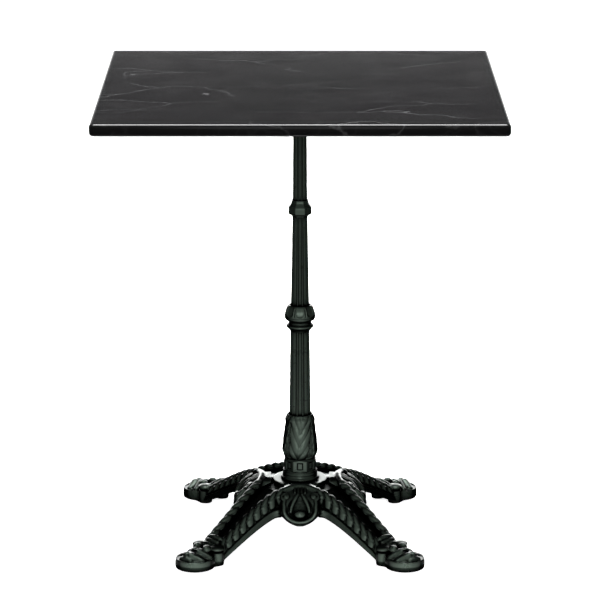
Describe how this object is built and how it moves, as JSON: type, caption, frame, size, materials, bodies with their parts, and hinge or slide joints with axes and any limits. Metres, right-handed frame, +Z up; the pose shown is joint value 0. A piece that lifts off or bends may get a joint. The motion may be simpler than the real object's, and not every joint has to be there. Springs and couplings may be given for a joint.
{
  "type": "bistro table",
  "caption": "Square stone-topped bistro table on a stacked, fluted cast-iron column and a cross-legged base with rope-edged legs, paw-like feet and levelling glides.",
  "frame": {"origin": "on the floor, on the column's axis", "axes": "+Z up; the front of the table faces -Y; the edges of the top run along X and Y"},
  "size_m": [0.6, 0.6, 0.708],
  "materials": {
    "black_marble": "polished",
    "painted_cast_iron": "satin black paint over cast texture",
    "zinc_steel": "zinc plated",
    "brass": "knurled",
    "glide_nylon": "matt"
  },
  "bodies": {
    "table": {"table_top": "black_marble", "upper_shaft": "painted_cast_iron", "neck_ring": "painted_cast_iron", "middle_shaft": "painted_cast_iron", "knop": "painted_cast_iron", "lower_shaft": "painted_cast_iron", "leaf_socket": "painted_cast_iron", "foot_collar": "painted_cast_iron", "base_casting": "painted_cast_iron", "top_spider": "painted_cast_iron", "tie_rod": "zinc_steel", "upper_tie_nut": "zinc_steel", "upper_tie_washer": "zinc_steel", "lower_tie_nut": "zinc_steel", "lower_tie_washer": "zinc_steel", "back_right_top_insert": "brass", "back_right_spider_screw": "zinc_steel", "back_right_spider_washer": "zinc_steel", "back_left_top_insert": "brass", "back_left_spider_screw": "zinc_steel", "back_left_spider_washer": "zinc_steel", "front_left_top_insert": "brass", "front_left_spider_screw": "zinc_steel", "front_left_spider_washer": "zinc_steel", "front_right_top_insert": "brass", "front_right_spider_screw": "zinc_steel", "front_right_spider_washer": "zinc_steel"},
    "back_right_pad": {"back_right_glide_pad": "glide_nylon"},
    "back_right_stem": {"back_right_glide_stem": "zinc_steel"},
    "back_left_pad": {"back_left_glide_pad": "glide_nylon"},
    "back_left_stem": {"back_left_glide_stem": "zinc_steel"},
    "front_left_pad": {"front_left_glide_pad": "glide_nylon"},
    "front_left_stem": {"front_left_glide_stem": "zinc_steel"},
    "front_right_pad": {"front_right_glide_pad": "glide_nylon"},
    "front_right_stem": {"front_right_glide_stem": "zinc_steel"}
  },
  "joints": [
    {"name": "back_right_glide_travel", "type": "slide", "parent": "table", "child": "back_right_pad", "axis": [0, 0, -1], "range_m": [-0.0015, 0.01]},
    {"name": "back_right_glide_turn", "type": "hinge", "parent": "back_right_pad", "child": "back_right_stem", "pos_m": [0.1585, 0.1735, 0.0058], "axis": [0, 0, -1], "range_deg": [-450, 2900]},
    {"name": "back_left_glide_travel", "type": "slide", "parent": "table", "child": "back_left_pad", "axis": [0, 0, -1], "range_m": [-0.0015, 0.01]},
    {"name": "back_left_glide_turn", "type": "hinge", "parent": "back_left_pad", "child": "back_left_stem", "pos_m": [-0.1585, 0.1735, 0.0058], "axis": [0, 0, -1], "range_deg": [-450, 2900]},
    {"name": "front_left_glide_travel", "type": "slide", "parent": "table", "child": "front_left_pad", "axis": [0, 0, -1], "range_m": [-0.0015, 0.01]},
    {"name": "front_left_glide_turn", "type": "hinge", "parent": "front_left_pad", "child": "front_left_stem", "pos_m": [-0.1585, -0.1735, 0.0058], "axis": [0, 0, -1], "range_deg": [-450, 2900]},
    {"name": "front_right_glide_travel", "type": "slide", "parent": "table", "child": "front_right_pad", "axis": [0, 0, -1], "range_m": [-0.0015, 0.01]},
    {"name": "front_right_glide_turn", "type": "hinge", "parent": "front_right_pad", "child": "front_right_stem", "pos_m": [0.1585, -0.1735, 0.0058], "axis": [0, 0, -1], "range_deg": [-450, 2900]}
  ],
  "couplings": [
    {"joint": "back_right_glide_turn", "follows": "back_right_glide_travel", "rad_per_m": 5026.5},
    {"joint": "back_left_glide_turn", "follows": "back_left_glide_travel", "rad_per_m": 5026.5},
    {"joint": "front_left_glide_turn", "follows": "front_left_glide_travel", "rad_per_m": 5026.5},
    {"joint": "front_right_glide_turn", "follows": "front_right_glide_travel", "rad_per_m": 5026.5}
  ]
}
